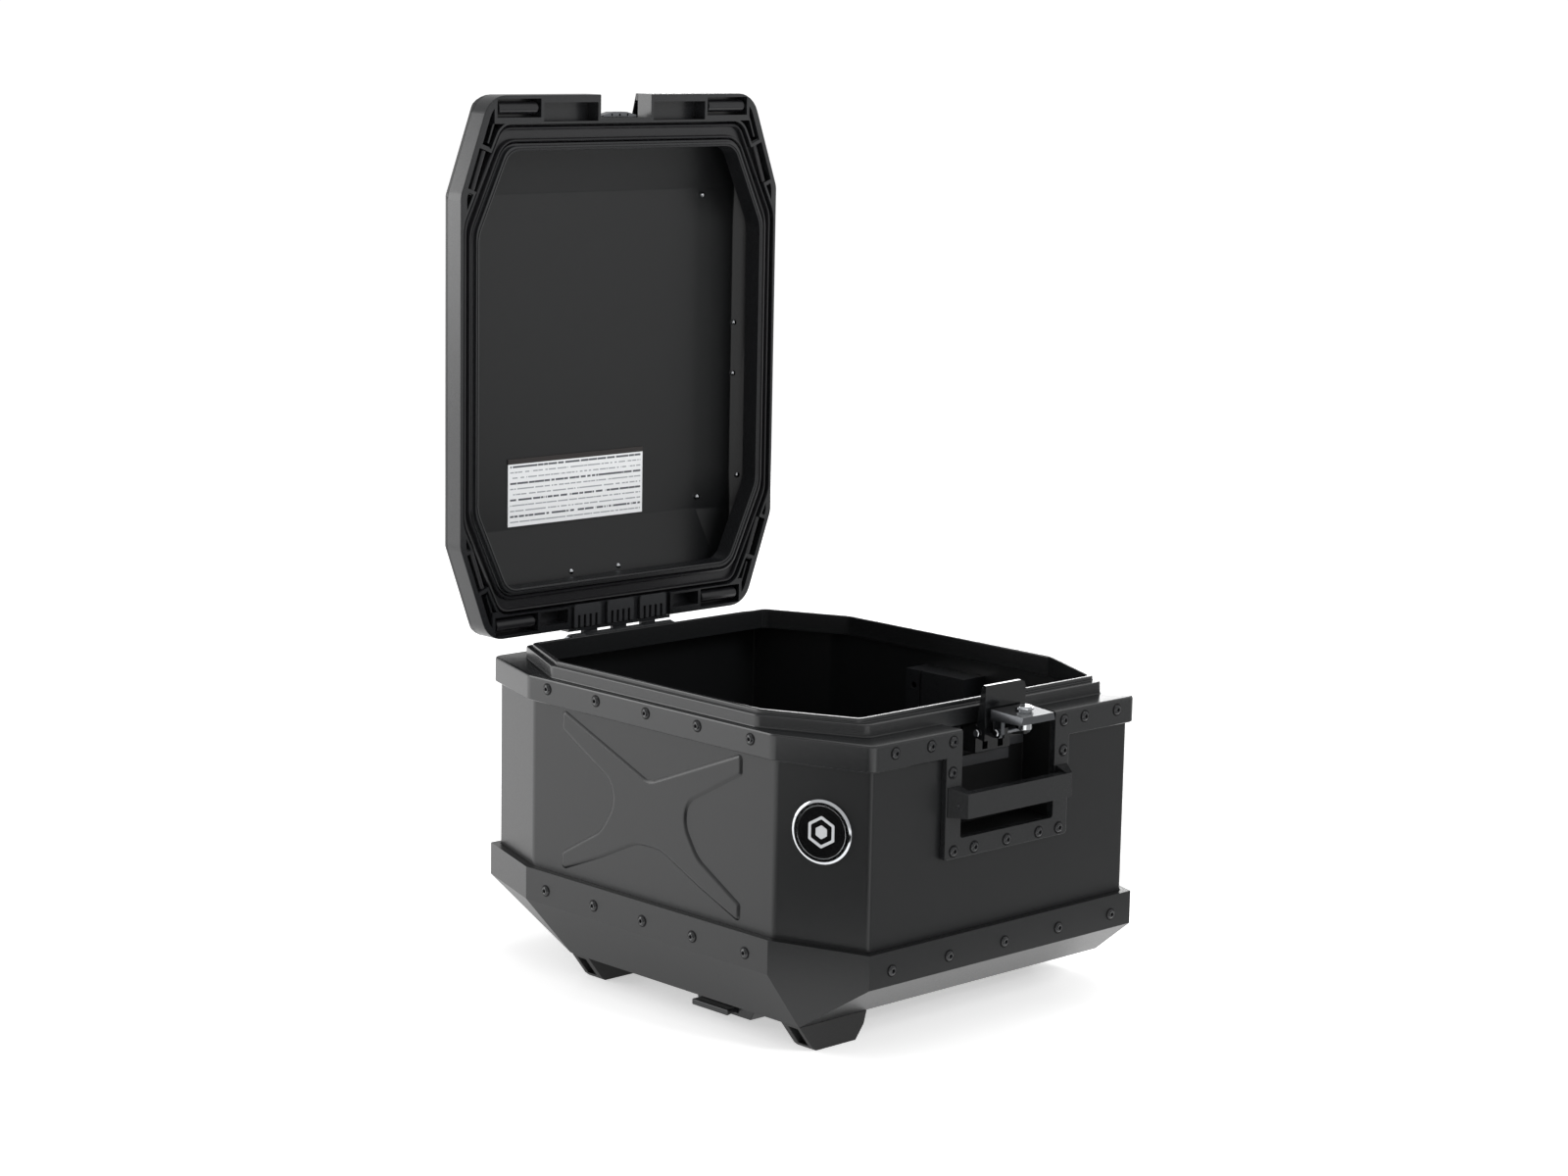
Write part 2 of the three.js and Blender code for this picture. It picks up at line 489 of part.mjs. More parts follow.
function hingeCover(x) {
  const plate = box([x - 18.4, x + 18.4], [-30.6, -10], [0, 2.6]);
  const slots = [-10.5, -3.5, 3.5, 10.5].map((d) => box([x + d - 1.4, x + d + 1.4], [-27, -14], [-1, 5]));
  return cut(plate, ...slots);
}

function strikerPlate() {
  const y = LID_FRONT + NOTCH_DEPTH;
  const plate = box([-19, 19], [y - 2.3, y - GAP], [8, 17.2]);
  const holes = [-11, 0, 11].map((x) => rod('y', 1.6, [y - 4, y + 1], [x, 12.6], 12));
  return cut(plate, ...holes);
}

const label = () => box([-97, 60], [-159, -99], [LID_DEPTH - 2.9, LID_DEPTH - 2.3]);

// ---- assembly ----
add(caseBody, 'bottom_tray', bottomTray(), PAINTED());
add(caseBody, 'wall_shell', wallShell(), PAINTED());
add(caseBody, 'rim_collar', rimCollar(), PLASTIC());
add(caseBody, 'recess_pocket', recessPocket(), PLASTIC());
add(caseBody, 'handle_bar', handleBar(), PLASTIC());
for (const [side, s] of [['left', -1], ['right', 1]]) {
  add(caseBody, `handle_bolt_${side}`, handleBolt(s), STEEL());
}
for (const [end, side, sx, sy] of corners) {
  add(caseBody, `foot_${end}_${side}`, foot(sx, sy), RUBBER());
  add(caseBody, `foot_bolt_${end}_${side}`, footBolt(sx, sy), STEEL());
}
add(caseBody, 'rack_guide', rackGuide(), PLASTIC());
add(caseBody, 'release_slide', releaseSlide(), PLASTIC());
add(caseBody, 'hinge_base', hingeBase(), STEEL());
add(caseBody, 'hinge_pin', hingePin(), STEEL());
add(caseBody, 'badge_ring', badgeRing(), CHROME());
add(caseBody, 'badge_disc', badgeDisc(), GLOSS());
add(caseBody, 'side_cover', sideCover(), PLASTIC());
add(caseBody, 'latch_base', latchBase(), PLASTIC());
add(caseBody, 'hook_pin', hookPin(), STEEL());
add(caseBody, 'hook_lever', hookLever(), GLOSS());
add(caseBody, 'flap_pin', flapPin(), STEEL());
add(caseBody, 'lock_flap', lockFlap(), GLOSS());
add(caseBody, 'key_cylinder', keyCylinder(), CHROME());

add(lid, 'lid_frame', lidFrame(), PLASTIC());
add(lid, 'lid_shell', lidShell(), PAINTED());
add(lid, 'lid_gasket', lidGasket(), RUBBER());
pockets.forEach((pocket, i) => add(lid, `strap_bar_${i + 1}`, barSolid(pocket), PLASTIC()));
lidCorners.forEach((corner, i) => add(lid, `corner_bar_${i + 1}`, cornerBar(corner), PLASTIC()));
add(lid, 'hinge_leaf', hingeLeaf(), STEEL());
[-38.5, 0, 38.5].forEach((x, i) => add(lid, `hinge_cover_${i + 1}`, hingeCover(x), PLASTIC()));
add(lid, 'striker_plate', strikerPlate(), STEEL());
add(lid, 'label', label(), PAPER());

lid.position.set(0, HINGE_Y, HINGE_Z);
lid.rotation.x = -Math.PI / 2;

const sideCase = new THREE.Group();
sideCase.add(caseBody, lid);
sideCase.position.z = -FOOT_H;
export default sideCase;
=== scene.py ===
import json
import math

import bmesh
import bpy
from mathutils import Matrix, Vector


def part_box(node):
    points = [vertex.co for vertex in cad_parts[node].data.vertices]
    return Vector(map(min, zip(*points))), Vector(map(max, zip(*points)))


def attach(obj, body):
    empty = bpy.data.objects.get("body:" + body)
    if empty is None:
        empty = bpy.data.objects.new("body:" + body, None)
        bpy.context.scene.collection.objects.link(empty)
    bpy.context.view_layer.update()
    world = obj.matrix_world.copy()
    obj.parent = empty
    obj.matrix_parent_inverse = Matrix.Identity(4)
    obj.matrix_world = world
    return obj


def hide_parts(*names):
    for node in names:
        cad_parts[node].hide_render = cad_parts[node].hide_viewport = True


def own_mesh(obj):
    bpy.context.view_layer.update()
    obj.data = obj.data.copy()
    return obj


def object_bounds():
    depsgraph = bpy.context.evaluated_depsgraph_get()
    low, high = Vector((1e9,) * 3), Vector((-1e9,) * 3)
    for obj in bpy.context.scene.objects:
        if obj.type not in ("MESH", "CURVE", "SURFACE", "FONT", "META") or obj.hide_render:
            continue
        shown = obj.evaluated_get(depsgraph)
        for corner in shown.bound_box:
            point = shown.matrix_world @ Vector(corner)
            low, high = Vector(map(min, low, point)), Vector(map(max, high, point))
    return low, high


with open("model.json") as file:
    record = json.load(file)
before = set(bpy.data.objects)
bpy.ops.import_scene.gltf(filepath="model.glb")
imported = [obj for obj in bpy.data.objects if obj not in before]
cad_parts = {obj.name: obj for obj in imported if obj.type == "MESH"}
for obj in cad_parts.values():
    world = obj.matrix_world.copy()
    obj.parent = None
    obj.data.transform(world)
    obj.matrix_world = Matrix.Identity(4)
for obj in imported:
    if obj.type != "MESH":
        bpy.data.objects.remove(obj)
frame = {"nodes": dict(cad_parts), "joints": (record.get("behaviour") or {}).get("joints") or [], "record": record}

CAD_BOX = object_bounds()
MM = 0.001
BODY_OF = {node: body for body, nodes in frame["record"]["behaviour"]["bodies"].items() for node in nodes}


def box_mm(node):
    """Lowest and highest corner of the node, in millimetres."""
    low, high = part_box(node)
    return low / MM, high / MM


# ---- driving sizes, from the frame where it has them ----
COLLAR_LOW, COLLAR_HIGH = box_mm("rim_collar")
HALF_X, HALF_Y = COLLAR_HIGH.x, COLLAR_HIGH.y
LIP_TOP = COLLAR_HIGH.z
LIP_H = 14
SHELF_Z = LIP_TOP - LIP_H
SHELF_T = 3
STEP_Z = SHELF_Z + 10.5
BAND_LOW = SHELF_Z - 21.5
COLLAR_WALL = 4.5
WALL_INSET = 5.5
WALL = 2.5
WALL_FRONT = -HALF_Y + WALL_INSET
TRAY_LOW, TRAY_HIGH = box_mm("bottom_tray")
POCKET_LOW, POCKET_HIGH = box_mm("recess_pocket")
RECESS_HALF = POCKET_HIGH.x - 2.5
RECESS_FLOOR = POCKET_LOW.z + 2.5
HINGE = Vector(next(j for j in frame["joints"] if j["name"] == "lid_hinge")["pos_m"]) / MM
LID_LOW, LID_HIGH = box_mm("lid_frame")
ON_LID = Matrix.Translation(HINGE) @ Matrix.Rotation(-math.pi / 2, 4, "X")
LID_HALF_Y = (LID_HIGH.z - LID_LOW.z) / 2
LID_MID = HINGE.z - (LID_HIGH.z + LID_LOW.z) / 2
CASE_MID = -HINGE.y
LID_FACE = LID_LOW.y - HINGE.y
LID_FRAME_H = LID_HIGH.y - HINGE.y
LID_FRONT = LID_MID - LID_HALF_Y
NOTCH_HALF = 29
NOTCH_DEPTH = 20


# ---- outlines ----
def octagon(half_x, half_y, cut_x, cut_y, mid_y=0.0):
    """Eight-sided outline, counter-clockwise: half sizes, and what each corner facet takes off."""
    corners = [(cut_x - half_x, -half_y), (half_x - cut_x, -half_y), (half_x, cut_y - half_y),
               (half_x, half_y - cut_y), (half_x - cut_x, half_y), (cut_x - half_x, half_y),
               (-half_x, half_y - cut_y), (-half_x, cut_y - half_y)]
    return [Vector((x, y + mid_y)) for x, y in corners]


def rectangle(x0, x1, y0, y1):
    """Four corners, counter-clockwise."""
    return [Vector(p) for p in ((x0, y0), (x1, y0), (x1, y1), (x0, y1))]


def rounded(corners, radii, steps=6):
    """The outline with an arc at each corner; radii is one number or one for each corner."""
    if not hasattr(radii, "__len__"):
        radii = [radii] * len(corners)
    outline = []
    for i, (corner, radius) in enumerate(zip(corners, radii)):
        before = corners[i - 1] - corner
        after = corners[(i + 1) % len(corners)] - corner
        room = 0.48 * min(before.length, after.length)
        before.normalize()
        after.normalize()
        half = before.angle(after) / 2
        reach = min(radius / math.tan(half), room)
        radius = reach * math.tan(half)
        centre = corner + (before + after).normalized() * (radius / math.sin(half))
        start = corner + before * reach - centre
        end = corner + after * reach - centre
        turn = start.angle_signed(end)
        for k in range(steps + 1):
            outline.append(centre + Matrix.Rotation(-turn * k / steps, 2) @ start)
    return outline


def inset(outline, distance):
    """The outline moved inwards by that distance, or outwards if it is negative."""
    moved = []
    for i, point in enumerate(outline):
        a = (point - outline[i - 1]).normalized()
        b = (outline[(i + 1) % len(outline)] - point).normalized()
        in_a, in_b = Vector((-a.y, a.x)), Vector((-b.y, b.x))
        moved.append(point + (in_a + in_b) * (distance / (1 + in_a.dot(in_b))))
    return moved


FACET_X, FACET_Y = 29, 83  # what a corner facet takes off the width and off the length
END_R, SIDE_R = 10, 24  # bend between an end and a facet, and between a facet and a long side
CASE_RADII = [END_R, END_R, SIDE_R, SIDE_R, END_R, END_R, SIDE_R, SIDE_R]
CASE_OUTLINE = rounded(octagon(HALF_X, HALF_Y, FACET_X, FACET_Y), CASE_RADII)


# ---- solids ----
def loft(rings, closed=False):
    """Skin over rings of points with equal counts: capped at both ends, or closed on itself."""
    bm = bmesh.new()
    outline, height = rings[0]
    ring = [bm.verts.new((p.x, p.y, height)) for p in outline]
    first = edges = [bm.edges.new(pair) for pair in zip(ring, ring[1:] + ring[:1])]
    for outline, height in rings[1:] + (rings[:1] if closed else []):
        grown = bmesh.ops.extrude_edge_only(bm, edges=edges)["geom"]
        fresh = {v for v in grown if isinstance(v, bmesh.types.BMVert)}
        edges = [e for e in grown if isinstance(e, bmesh.types.BMEdge) and fresh.issuperset(e.verts)]
        ring = [next(e.other_vert(v) for e in v.link_edges if e.other_vert(v) in fresh) for v in ring]
        for vert, point in zip(ring, outline):
            vert.co = (point.x, point.y, height)
    if closed:
        bmesh.ops.remove_doubles(bm, verts=bm.verts, dist=0.001)
    else:
        bmesh.ops.contextual_create(bm, geom=first)
        bmesh.ops.contextual_create(bm, geom=edges)
    bmesh.ops.recalc_face_normals(bm, faces=bm.faces)
    return bm


def prism(outline, low, high):
    """Solid with that outline between two heights."""
    return loft([(outline, low), (outline, high)])


def block(x, y, z):
    """Box between the two numbers of each range."""
    bm = bmesh.new()
    bmesh.ops.create_cube(bm, size=1)
    bmesh.ops.scale(bm, vec=(x[1] - x[0], y[1] - y[0], z[1] - z[0]), verts=bm.verts)
    bmesh.ops.translate(bm, vec=((x[0] + x[1]) / 2, (y[0] + y[1]) / 2, (z[0] + z[1]) / 2), verts=bm.verts)
    return bm


def side_prism(outline, x):
    """Solid between the two x of the range, from points of y and z."""
    upright = Matrix(((0, 0, 1, 0), (1, 0, 0, 0), (0, 1, 0, 0), (0, 0, 0, 1)))
    return placed(prism([Vector(p) for p in outline], *x), upright)


def turned(profile, steps=24):
    """Solid of revolution about Z from points of radius and height, which end on the axis."""
    bm = bmesh.new()
    verts = [bm.verts.new((radius, 0, height)) for radius, height in profile]
    edges = [bm.edges.new(pair) for pair in zip(verts, verts[1:])]
    bmesh.ops.spin(bm, geom=verts + edges, cent=(0, 0, 0), axis=(0, 0, 1), angle=2 * math.pi,
                   steps=steps, use_merge=True)
    bmesh.ops.remove_doubles(bm, verts=bm.verts, dist=0.001)
    bmesh.ops.recalc_face_normals(bm, faces=bm.faces)
    return bm


def placed(bm, matrix):
    """The mesh moved by the matrix."""
    bmesh.ops.transform(bm, matrix=matrix, verts=bm.verts)
    return bm


def together(solids):
    """One mesh that holds separate solids."""
    joined = bmesh.new()
    for bm in solids:
        part = bpy.data.meshes.new("part")
        bm.to_mesh(part)
        bm.free()
        joined.from_mesh(part)
        bpy.data.meshes.remove(part)
    return joined


def mesh_object(bm, name="tool"):
    """Object made from the mesh, linked to the scene."""
    mesh = bpy.data.meshes.new(name)
    bm.to_mesh(mesh)
    bm.free()
    made = bpy.data.objects.new(name, mesh)
    bpy.context.scene.collection.objects.link(made)
    return made


def combined(base, *steps):
    """The base after joining, cutting or keeping what is common, in turn, with other solids."""
    result = mesh_object(base)
    tools = []
    for operation, bm in steps:
        tools.append(mesh_object(bm))
        boolean = result.modifiers.new("combine", "BOOLEAN")
        boolean.operation = operation
        boolean.solver = "MANIFOLD"
        boolean.object = tools[-1]
    evaluated = result.evaluated_get(bpy.context.evaluated_depsgraph_get())
    bm = bmesh.new()
    bm.from_mesh(evaluated.to_mesh())
    evaluated.to_mesh_clear()
    for used in [result, *tools]:
        mesh = used.data
        bpy.data.objects.remove(used)
        bpy.data.meshes.remove(mesh)
    return bm


def ease(bm, radius, segments=2, over=25):
    """Rounds off every edge that turns by more than that angle."""
    bmesh.ops.dissolve_limit(bm, angle_limit=math.radians(0.6), verts=bm.verts, edges=bm.edges)
    sharp = [e for e in bm.edges if len(e.link_faces) == 2 and e.calc_face_angle() > math.radians(over)]
    bmesh.ops.bevel(bm, geom=sharp, offset=radius, offset_type="OFFSET", affect="EDGES",
                    segments=segments, profile=0.5, material=-1, clamp_overlap=True)
    return bm


def cad_copy(node):
    """The node's solid in millimetres, with its shared corners merged."""
    bm = bmesh.new()
    bm.from_mesh(frame["nodes"][node].data)
    bmesh.ops.scale(bm, vec=(1 / MM,) * 3, verts=bm.verts)
    bmesh.ops.remove_doubles(bm, verts=bm.verts, dist=0.004)
    return bm


def piece(name, bm, body, finish, replaces=(), smooth_to=32):
    """The finished piece: in metres, shaded, painted and riding on its body."""
    bmesh.ops.scale(bm, vec=(MM,) * 3, verts=bm.verts)
    for face in bm.faces:
        face.smooth = True
        face.material_index = 0
    made = mesh_object(bm, name)
    made.data.set_sharp_from_angle(angle=math.radians(smooth_to))
    weighted = made.modifiers.new("even shading", "WEIGHTED_NORMAL")
    weighted.keep_sharp = True
    made.data.materials.clear()
    made.data.materials.append(finish)
    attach(made, body)
    if replaces:
        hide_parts(*replaces)
    return made


def eased_node(node, radius, finish, segments=2, over=25):
    """The CAD node with every edge rounded off."""
    bm = ease(cad_copy(node), radius, segments, over)
    return piece(node + "_eased", bm, BODY_OF[node], finish, [node])


# ---- finishes ----
def linear(hex_colour):
    """sRGB hex colour as linear red, green, blue and alpha."""
    channels = [int(hex_colour[i:i + 2], 16) / 255 for i in (1, 3, 5)]
    return (*[c / 12.92 if c <= 0.04045 else ((c + 0.055) / 1.055) ** 2.4 for c in channels], 1.0)


def add_node(tree, kind, inputs=None, **settings):
    """A node with its settings; each input is a value or a socket to link from."""
    made = tree.nodes.new(kind)
    for name, value in settings.items():
        setattr(made, name, value)
    for socket, value in (inputs or {}).items():
        if isinstance(value, bpy.types.NodeSocket):
            tree.links.new(value, made.inputs[socket])
        else:
            made.inputs[socket].default_value = value
    return made


def surface(name, colour, cloud, rough, grain_mm, relief_mm, metallic=0.0, coat=0.0, rough_spread=0.06,
            cloud_mm=60, specular=0.5):
    """A finish whose colour drifts slowly, with a fine relief of that grain and depth."""
    material = bpy.data.materials.new(name)
    material.use_nodes = True
    tree = material.node_tree
    shader = tree.nodes["Principled BSDF"]
    place = add_node(tree, "ShaderNodeTexCoord").outputs["Object"]
    drift = add_node(tree, "ShaderNodeTexNoise", {"Vector": place, "Scale": 1 / (cloud_mm * MM),
                                                  "Detail": 4.0})
    grain = add_node(tree, "ShaderNodeTexNoise", {"Vector": place, "Scale": 1 / (grain_mm * MM),
                                                  "Detail": 3.0})
    tint = add_node(tree, "ShaderNodeMix", {"Factor": drift.outputs["Fac"], 6: linear(colour),
                                            7: linear(cloud)}, data_type="RGBA")
    haze = add_node(tree, "ShaderNodeMapRange", {"Value": grain.outputs["Fac"],
                                                 "To Min": rough - rough_spread,
                                                 "To Max": rough + rough_spread})
    bump = add_node(tree, "ShaderNodeBump", {"Height": grain.outputs["Fac"], "Distance": relief_mm * MM,
                                             "Strength": 1.0})
    tree.links.new(tint.outputs[2], shader.inputs["Base Color"])
    tree.links.new(haze.outputs["Result"], shader.inputs["Roughness"])
    tree.links.new(bump.outputs["Normal"], shader.inputs["Normal"])
    shader.inputs["Metallic"].default_value = metallic
    shader.inputs["Coat Weight"].default_value = coat
    shader.inputs["Coat Roughness"].default_value = 0.12
    shader.inputs["Specular IOR Level"].default_value = specular
    return material


# Black powder coat on aluminium: satin, with the slight orange peel of baked powder.
POWDER = surface("satin powder coat", "#131415", "#161718", 0.33, 1.6, 0.04)
# Moulded black plastic with a fine spark-eroded grain, a little glossier on the collar.
COLLAR_PLASTIC = surface("fine grained polypropylene", "#18191a", "#1c1d1e", 0.25, 0.7, 0.015,
                         specular=0.62)
# Moulded black plastic with a satin face, on the border of the lid and the parts under the floor.
LID_PLASTIC = surface("satin moulded plastic", "#17181a", "#1b1c1e", 0.29, 0.7, 0.02, specular=0.6)
# Polished black plastic: nearly clean reflections.
GLOSS_PLASTIC = surface("polished black plastic", "#0c0d0e", "#101112", 0.16, 0.6, 0.006, coat=0.3)
# Matt black rubber of the feet.
RUBBER = surface("moulded rubber", "#101010", "#161616", 0.62, 0.8, 0.05)
# Smooth extruded rubber with a faint sheen, on the seal and the strap bars.
SEAL_FINISH = surface("smooth seal rubber", "#1a1a1c", "#202022", 0.30, 0.8, 0.01)
# Zinc plated steel of bolts and pins.
STEEL = surface("zinc plated steel", "#8d9094", "#a3a5a8", 0.34, 0.5, 0.02, metallic=1.0)
# Bright chrome plate on the badge ring, the key cylinder and the pin heads.
CHROME = surface("polished chrome", "#c9ccd0", "#d6d8da", 0.12, 0.5, 0.004, metallic=1.0, rough_spread=0.03)
# Blackened steel of the hinge, with a dull metal gleam.
BLACK_STEEL = surface("black oxide steel", "#202123", "#27282a", 0.28, 0.4, 0.01, metallic=0.2)
# Matt black plastic of the recess, painted near black: the extra darkness is painted shade for the deep recess,
# and the same near black is the painted shade under the rivets.
PAINTED_SHADE_BLACK = surface("near-black recess plastic with painted shade", "#070808", "#0b0b0c", 0.6, 0.7, 0.05, specular=0.25)
# Black enamel baked on the rivet heads.
RIVET_PAINT = surface("painted rivet steel", "#17181a", "#1c1d1f", 0.24, 0.4, 0.006, specular=0.6)
# Dark grey plastic of the ledge in the recess and of the hinge plates, lighter than the other black plastics: on
# the ledge the lighter grey is painted light, for the light it catches though it sits in the recess.
LIGHTENED_GREY_PLASTIC = surface("grey plastic lightened as painted light", "#2c2d2f", "#343537", 0.34, 0.7, 0.02)
# Pale grey enamel of the emblem.
PALE_ENAMEL = surface("pale enamel", "#b9bbbe", "#c4c6c8", 0.3, 0.8, 0.004)
# Smoked chrome of the lock flap and the striker: a darker mirror than bright chrome.
BLACK_CHROME = surface("smoked chrome", "#6a6c6f", "#747679", 0.26, 0.5, 0.004, metallic=1.0,
                       rough_spread=0.03)
# Glossy black enamel under a clear coat, on the badge disc.
DISC_ENAMEL = surface("black enamel", "#0a0a0b", "#0e0e0f", 0.14, 0.8, 0.004, coat=0.5)


def printed_film():
    """White vinyl film: rows of short bars under a dark head strip, every third row bolder."""
    material = surface("printed vinyl film", "#eef0f2", "#f3f4f5", 0.5, 0.6, 0.006)
    tree = material.node_tree
    shader = tree.nodes["Principled BSDF"]
    low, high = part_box("label")
    head_h, row_pitch, margin = 4.6 * MM, 4.9 * MM, 2.5 * MM

    place = add_node(tree, "ShaderNodeTexCoord").outputs["Object"]
    axes = add_node(tree, "ShaderNodeSeparateXYZ", {"Vector": place}).outputs
    sums = "ShaderNodeMath"
    drop = add_node(tree, sums, {0: high.z - head_h, 1: axes["Z"]}, operation="SUBTRACT").outputs[0]
    rows = add_node(tree, sums, {0: drop, 1: row_pitch}, operation="DIVIDE").outputs[0]
    row = add_node(tree, sums, {0: rows}, operation="FLOOR").outputs[0]
    # Every third row is bolder, and the bars keep to the middle of their row.
    third = add_node(tree, sums, {0: row, 1: 3.0}, operation="MODULO").outputs[0]
    bold = add_node(tree, sums, {0: third, 1: 0.5}, operation="LESS_THAN").outputs[0]
    extra = add_node(tree, sums, {0: bold, 1: 0.12}, operation="MULTIPLY").outputs[0]
    height = add_node(tree, sums, {0: extra, 1: 0.24}, operation="ADD").outputs[0]
    half_height = add_node(tree, sums, {0: height, 1: 0.5}, operation="MULTIPLY").outputs[0]
    in_row = add_node(tree, sums, {0: rows}, operation="FRACT").outputs[0]
    off_middle = add_node(tree, sums, {0: in_row, 1: 0.5}, operation="SUBTRACT").outputs[0]
    from_middle = add_node(tree, sums, {0: off_middle}, operation="ABSOLUTE").outputs[0]
    in_line = add_node(tree, sums, {0: from_middle, 1: half_height}, operation="LESS_THAN").outputs[0]
    # Stretched noise, shifted from row to row, breaks the rows into bars of uneven length.
    shift = add_node(tree, sums, {0: row, 1: 0.37}, operation="MULTIPLY").outputs[0]
    along = add_node(tree, "ShaderNodeCombineXYZ", {"X": axes["X"], "Y": shift}).outputs["Vector"]
    stretched = add_node(tree, "ShaderNodeMapping", {"Vector": along, "Scale": (1 / (2.6 * MM), 7.3, 1.0)})
    breaks = add_node(tree, "ShaderNodeTexNoise", {"Vector": stretched.outputs["Vector"], "Scale": 1.0,
                                                   "Detail": 1.0}).outputs["Fac"]
    solid_ink = add_node(tree, sums, {0: breaks, 1: 0.4}, operation="GREATER_THAN").outputs[0]
    inked = add_node(tree, sums, {0: solid_ink, 1: in_line}, operation="MULTIPLY").outputs[0]
    # A clear margin at both sides and at the lower edge.
    left = add_node(tree, sums, {0: axes["X"], 1: low.x + margin}, operation="GREATER_THAN").outputs[0]
    right = add_node(tree, sums, {0: axes["X"], 1: high.x - margin}, operation="LESS_THAN").outputs[0]
    sides = add_node(tree, sums, {0: left, 1: right}, operation="MULTIPLY").outputs[0]
    foot = add_node(tree, sums, {0: axes["Z"], 1: low.z + margin}, operation="GREATER_THAN").outputs[0]
    field = add_node(tree, sums, {0: sides, 1: foot}, operation="MULTIPLY").outputs[0]
    bars = add_node(tree, sums, {0: inked, 1: field}, operation="MULTIPLY").outputs[0]
    head = add_node(tree, sums, {0: axes["Z"], 1: high.z - head_h}, operation="GREATER_THAN").outputs[0]
    ink = add_node(tree, "ShaderNodeMix", {"Factor": bold, 6: linear("#a6a9ad"), 7: linear("#5b5e63")},
                   data_type="RGBA")
    tint = shader.inputs["Base Color"].links[0].from_socket
    lines = add_node(tree, "ShaderNodeMix", {"Factor": bars, 6: tint, 7: ink.outputs[2]}, data_type="RGBA")
    headed = add_node(tree, "ShaderNodeMix", {"Factor": head, 6: lines.outputs[2], 7: linear("#2e2a29")},
                      data_type="RGBA")
    tree.links.new(headed.outputs[2], shader.inputs["Base Color"])
    return material


# ---- wall wrap, with the stiffening cross pressed into both long sides ----
CROSS_Z = 142  # middle of the cross
CROSS_PROUD = 1.5


def cross_outline():
    """Outline of the cross, as points of y and z: broad tips at the corners, waist in the middle."""
    right = [(110, -70), (110, -54), (60, -26), (44, -2), (47, 17), (110, 51), (110, 69)]
    radii = [4, 4, 34, 30, 34, 4, 4]
    left = [(-y, z) for y, z in reversed(right)]
    corners = [(14, -29), (60, -50), *right, (0, 26), *left, (-60, -50), (-14, -29)]
    soft = [40, 40, *radii, 16, *reversed(radii), 40, 40]
    return rounded([Vector((y, z + CROSS_Z)) for y, z in corners], soft, steps=5)


def pressed_cross(side):
    """The cross as a solid plateau with a soft shoulder, standing out of the wall at that side."""
    outline = cross_outline()
    shoulder = [(0, -1.2), (0, 0.0), (0.5, 0.35), (1.4, 0.95), (2.4, 1.35), (3.6, CROSS_PROUD)]
    bm = loft([(inset(outline, step), height) for step, height in shoulder])
    upright = Matrix(((0, 0, side, side * (HALF_X - WALL_INSET)), (1, 0, 0, 0), (0, 1, 0, 0), (0, 0, 0, 1)))
    bm = placed(bm, upright)
    bmesh.ops.recalc_face_normals(bm, faces=bm.faces)
    return bm


def wall_shell():
    """One bent sheet round the case, with the pressed crosses and the recess cut out."""
    low, high = box_mm("wall_shell")
    outer, inner = inset(CASE_OUTLINE, WALL_INSET), inset(CASE_OUTLINE, WALL_INSET + WALL)
    wrap = loft([(outer, low.z), (outer, high.z), (inner, high.z), (inner, low.z)], closed=True)
    recess = block((-RECESS_HALF - 3, RECESS_HALF + 3), (WALL_FRONT - 5, WALL_FRONT + 5),
                   (RECESS_FLOOR - 3, SHELF_Z))
    bm = combined(wrap, ("UNION", pressed_cross(-1)), ("UNION", pressed_cross(1)), ("DIFFERENCE", recess))
    return piece("wall_wrap", bm, "case", POWDER, ["wall_shell"])


# ---- collar: band, shelf, stepped sealing lip and the handle frame ----
FRAME_HALF = 72
FRAME_LOW = COLLAR_LOW.z
RECESS_REACH = 209  # the recess is cut from the front back to this distance from the middle
LIP_RADII = [7, 7, 16, 16, 7, 7, 16, 16]
LIP_LOWER = rounded(octagon(177.3, 208.7, 40.5, 83), LIP_RADII)
LIP_UPPER = rounded(octagon(173.5, 200, 36.5, 76), LIP_RADII)
MOUTH = rounded(octagon(169.5, 196, 35.5, 74), LIP_RADII)


